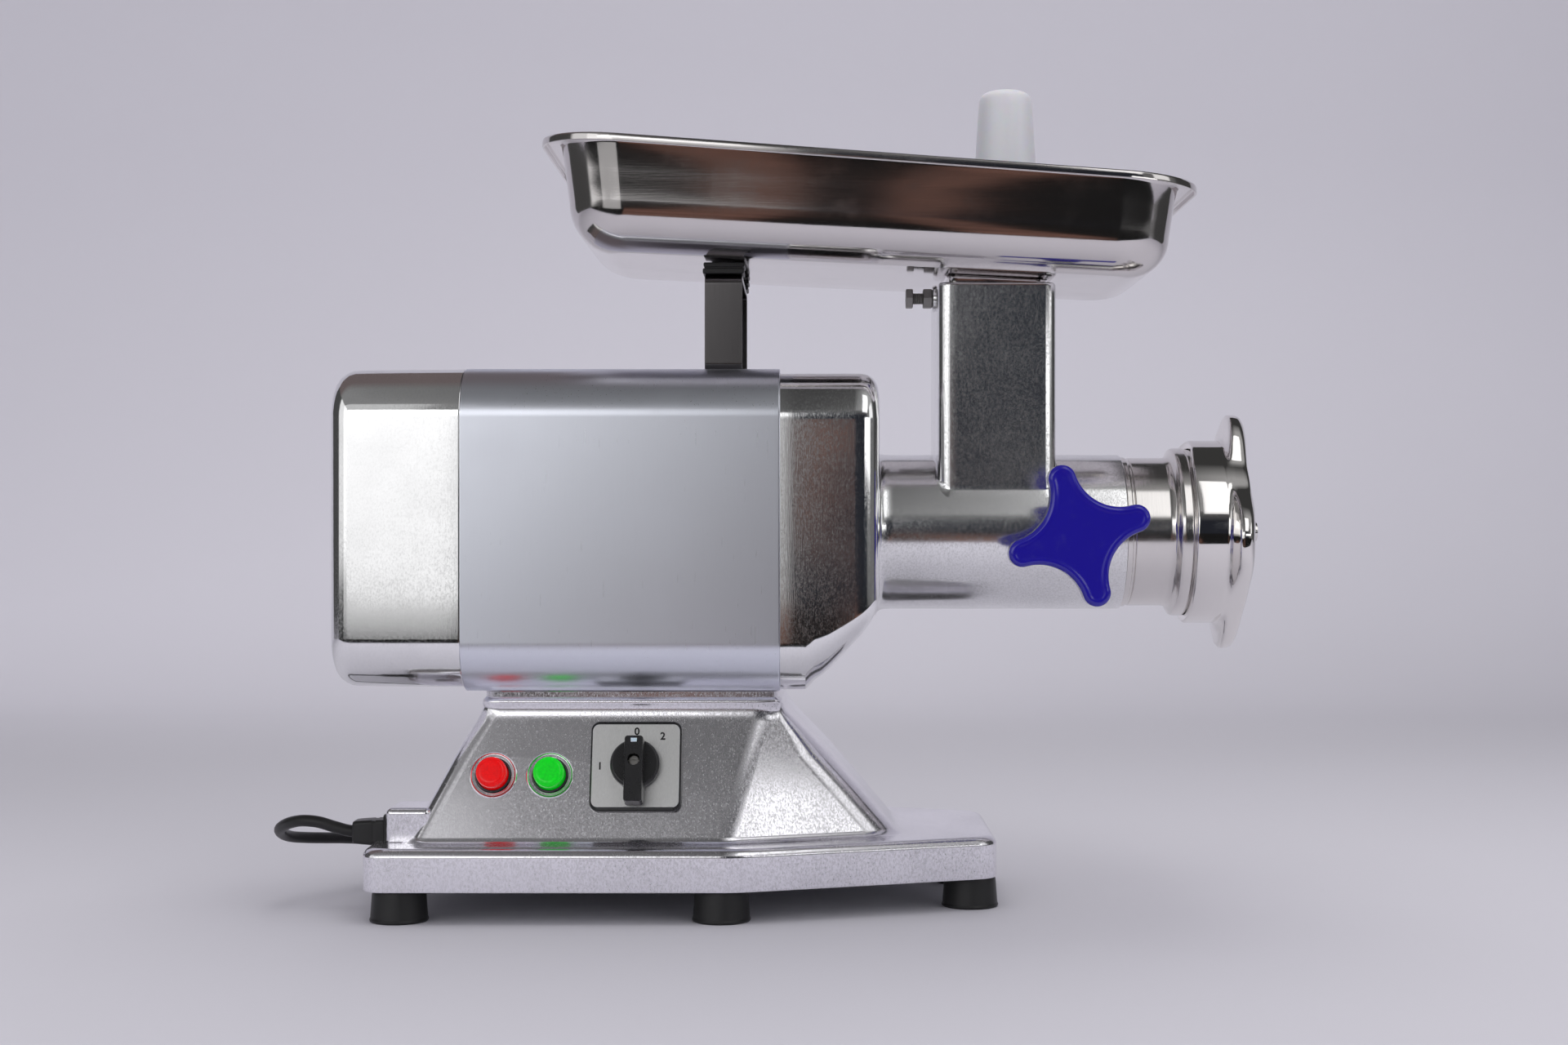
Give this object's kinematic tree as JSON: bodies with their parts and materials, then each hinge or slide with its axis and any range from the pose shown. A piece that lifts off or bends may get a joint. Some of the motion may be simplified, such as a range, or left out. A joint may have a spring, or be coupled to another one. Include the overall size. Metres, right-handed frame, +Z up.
{
  "type": "electric meat grinder",
  "caption": "Table-top electric meat grinder with a geared motor housing on a sloped cast base, a feed neck and tray, a worm barrel, a lugged ring nut and a star lock knob.",
  "frame": {"origin": "on the table, under the middle of the machine without its mains cord", "axes": "+X towards the ring nut, where the mince comes out; -Y the side with the switch; +Z up"},
  "size_m": [0.6809, 0.4122, 0.5655],
  "materials": {
    "cast_aluminium": "polished casting",
    "brushed_sleeve": "brushed sheet",
    "stainless": "mirror polish",
    "bracket_steel": "satin",
    "zinc_steel": "zinc plated",
    "bolt_steel": "dull",
    "black_rubber": "matt",
    "black_plastic": "satin",
    "cord_rubber": "satin",
    "white_plastic": "translucent",
    "blue_plastic": "gloss",
    "red_plastic": "gloss",
    "green_plastic": "gloss",
    "machined_steel": "machined",
    "motor_iron": "varnished laminations",
    "copper_wire": "enamelled",
    "bronze": "machined",
    "pale_plastic": "moulded"
  },
  "bodies": {
    "housing": {"base_casting": "cast_aluminium", "bottom_cover": "zinc_steel", "rubber_feet": "black_rubber", "foot_screws": "zinc_steel", "cord_gland": "black_plastic", "cord": "cord_rubber", "cord_coil": "cord_rubber", "plug": "black_plastic", "rear_cap": "cast_aluminium", "motor_sleeve": "brushed_sleeve", "gear_case": "cast_aluminium", "gear_plate": "cast_aluminium", "rear_end_shield": "cast_aluminium", "motor_can": "motor_iron", "motor_stator": "motor_iron", "motor_windings": "copper_wire", "motor_bearings": "machined_steel", "motor_tie_bolts": "zinc_steel", "counter_bearings": "machined_steel", "output_bearings": "machined_steel", "oil_seal": "black_rubber", "case_screws": "zinc_steel", "feed_housing": "cast_aluminium", "neck_bolt": "bolt_steel", "neck_nut": "bolt_steel", "head_nozzle": "stainless", "grinder_plate": "machined_steel", "support_bracket": "bracket_steel", "support_pads": "black_rubber", "bracket_screws": "zinc_steel", "switch_frame": "black_plastic", "switch_plate": "brushed_sleeve", "switch_body": "black_plastic", "button_bodies": "black_plastic", "button_springs": "zinc_steel", "capacitor": "pale_plastic", "terminal_block": "pale_plastic"},
    "rotor": {"motor_rotor": "motor_iron", "motor_shaft": "machined_steel", "drive_pinion": "machined_steel", "cooling_fan": "black_plastic"},
    "lay_shaft": {"countershaft": "machined_steel", "counter_gear": "machined_steel", "counter_pinion": "machined_steel"},
    "worm_drive": {"output_gear": "machined_steel", "output_shaft": "machined_steel", "feed_worm": "cast_aluminium", "worm_stud": "stainless", "thrust_washer": "bronze", "cutter_knife": "machined_steel"},
    "ring": {"ring_nut": "stainless"},
    "knob": {"lock_knob": "blue_plastic", "lock_screw": "zinc_steel"},
    "tray": {"tray_pan": "stainless"},
    "stomper": {"plunger": "white_plastic"},
    "selector": {"switch_knob": "black_plastic", "switch_screw": "zinc_steel"},
    "red_cap": {"red_button": "red_plastic"},
    "green_cap": {"green_button": "green_plastic"}
  },
  "joints": [
    {"name": "motor_spin", "type": "hinge", "parent": "housing", "child": "rotor", "pos_m": [-0.12, 0, 0.255], "axis": [1, 0, 0], "continuous": true},
    {"name": "lay_shaft_spin", "type": "hinge", "parent": "housing", "child": "lay_shaft", "pos_m": [0, 0, 0.311], "axis": [1, 0, 0], "continuous": true},
    {"name": "worm_spin", "type": "hinge", "parent": "housing", "child": "worm_drive", "pos_m": [0.15, 0, 0.255], "axis": [1, 0, 0], "continuous": true},
    {"name": "ring_nut_turn", "type": "hinge", "parent": "housing", "child": "ring", "pos_m": [0.285, 0, 0.255], "axis": [1, 0, 0], "range_deg": [0, 1080]},
    {"name": "lock_knob_turn", "type": "hinge", "parent": "housing", "child": "knob", "pos_m": [0.1795, -0.08, 0.252], "axis": [0, -1, 0], "range_deg": [0, 1080]},
    {"name": "tray_lift", "type": "slide", "parent": "housing", "child": "tray", "axis": [0, 0, 1], "range_m": [0, 0.08]},
    {"name": "plunger_lift", "type": "slide", "parent": "tray", "child": "stomper", "axis": [0, 0, 1], "range_m": [0, 0.2]},
    {"name": "switch_turn", "type": "hinge", "parent": "housing", "child": "selector", "pos_m": [-0.1143, -0.0929, 0.0983], "axis": [0, -0.9487, 0.3162], "range_deg": [-45, 90]},
    {"name": "red_button_press", "type": "slide", "parent": "housing", "child": "red_cap", "axis": [0, 0.9487, -0.3162], "range_m": [0, 0.003], "stiffness_N_per_m": 600, "springref_m": -0.002},
    {"name": "green_button_press", "type": "slide", "parent": "housing", "child": "green_cap", "axis": [0, 0.9487, -0.3162], "range_m": [0, 0.003], "stiffness_N_per_m": 600, "springref_m": -0.002}
  ],
  "couplings": [
    {"joint": "lay_shaft_spin", "follows": "motor_spin", "ratio": -0.33333},
    {"joint": "worm_spin", "follows": "motor_spin", "ratio": 0.12057}
  ]
}
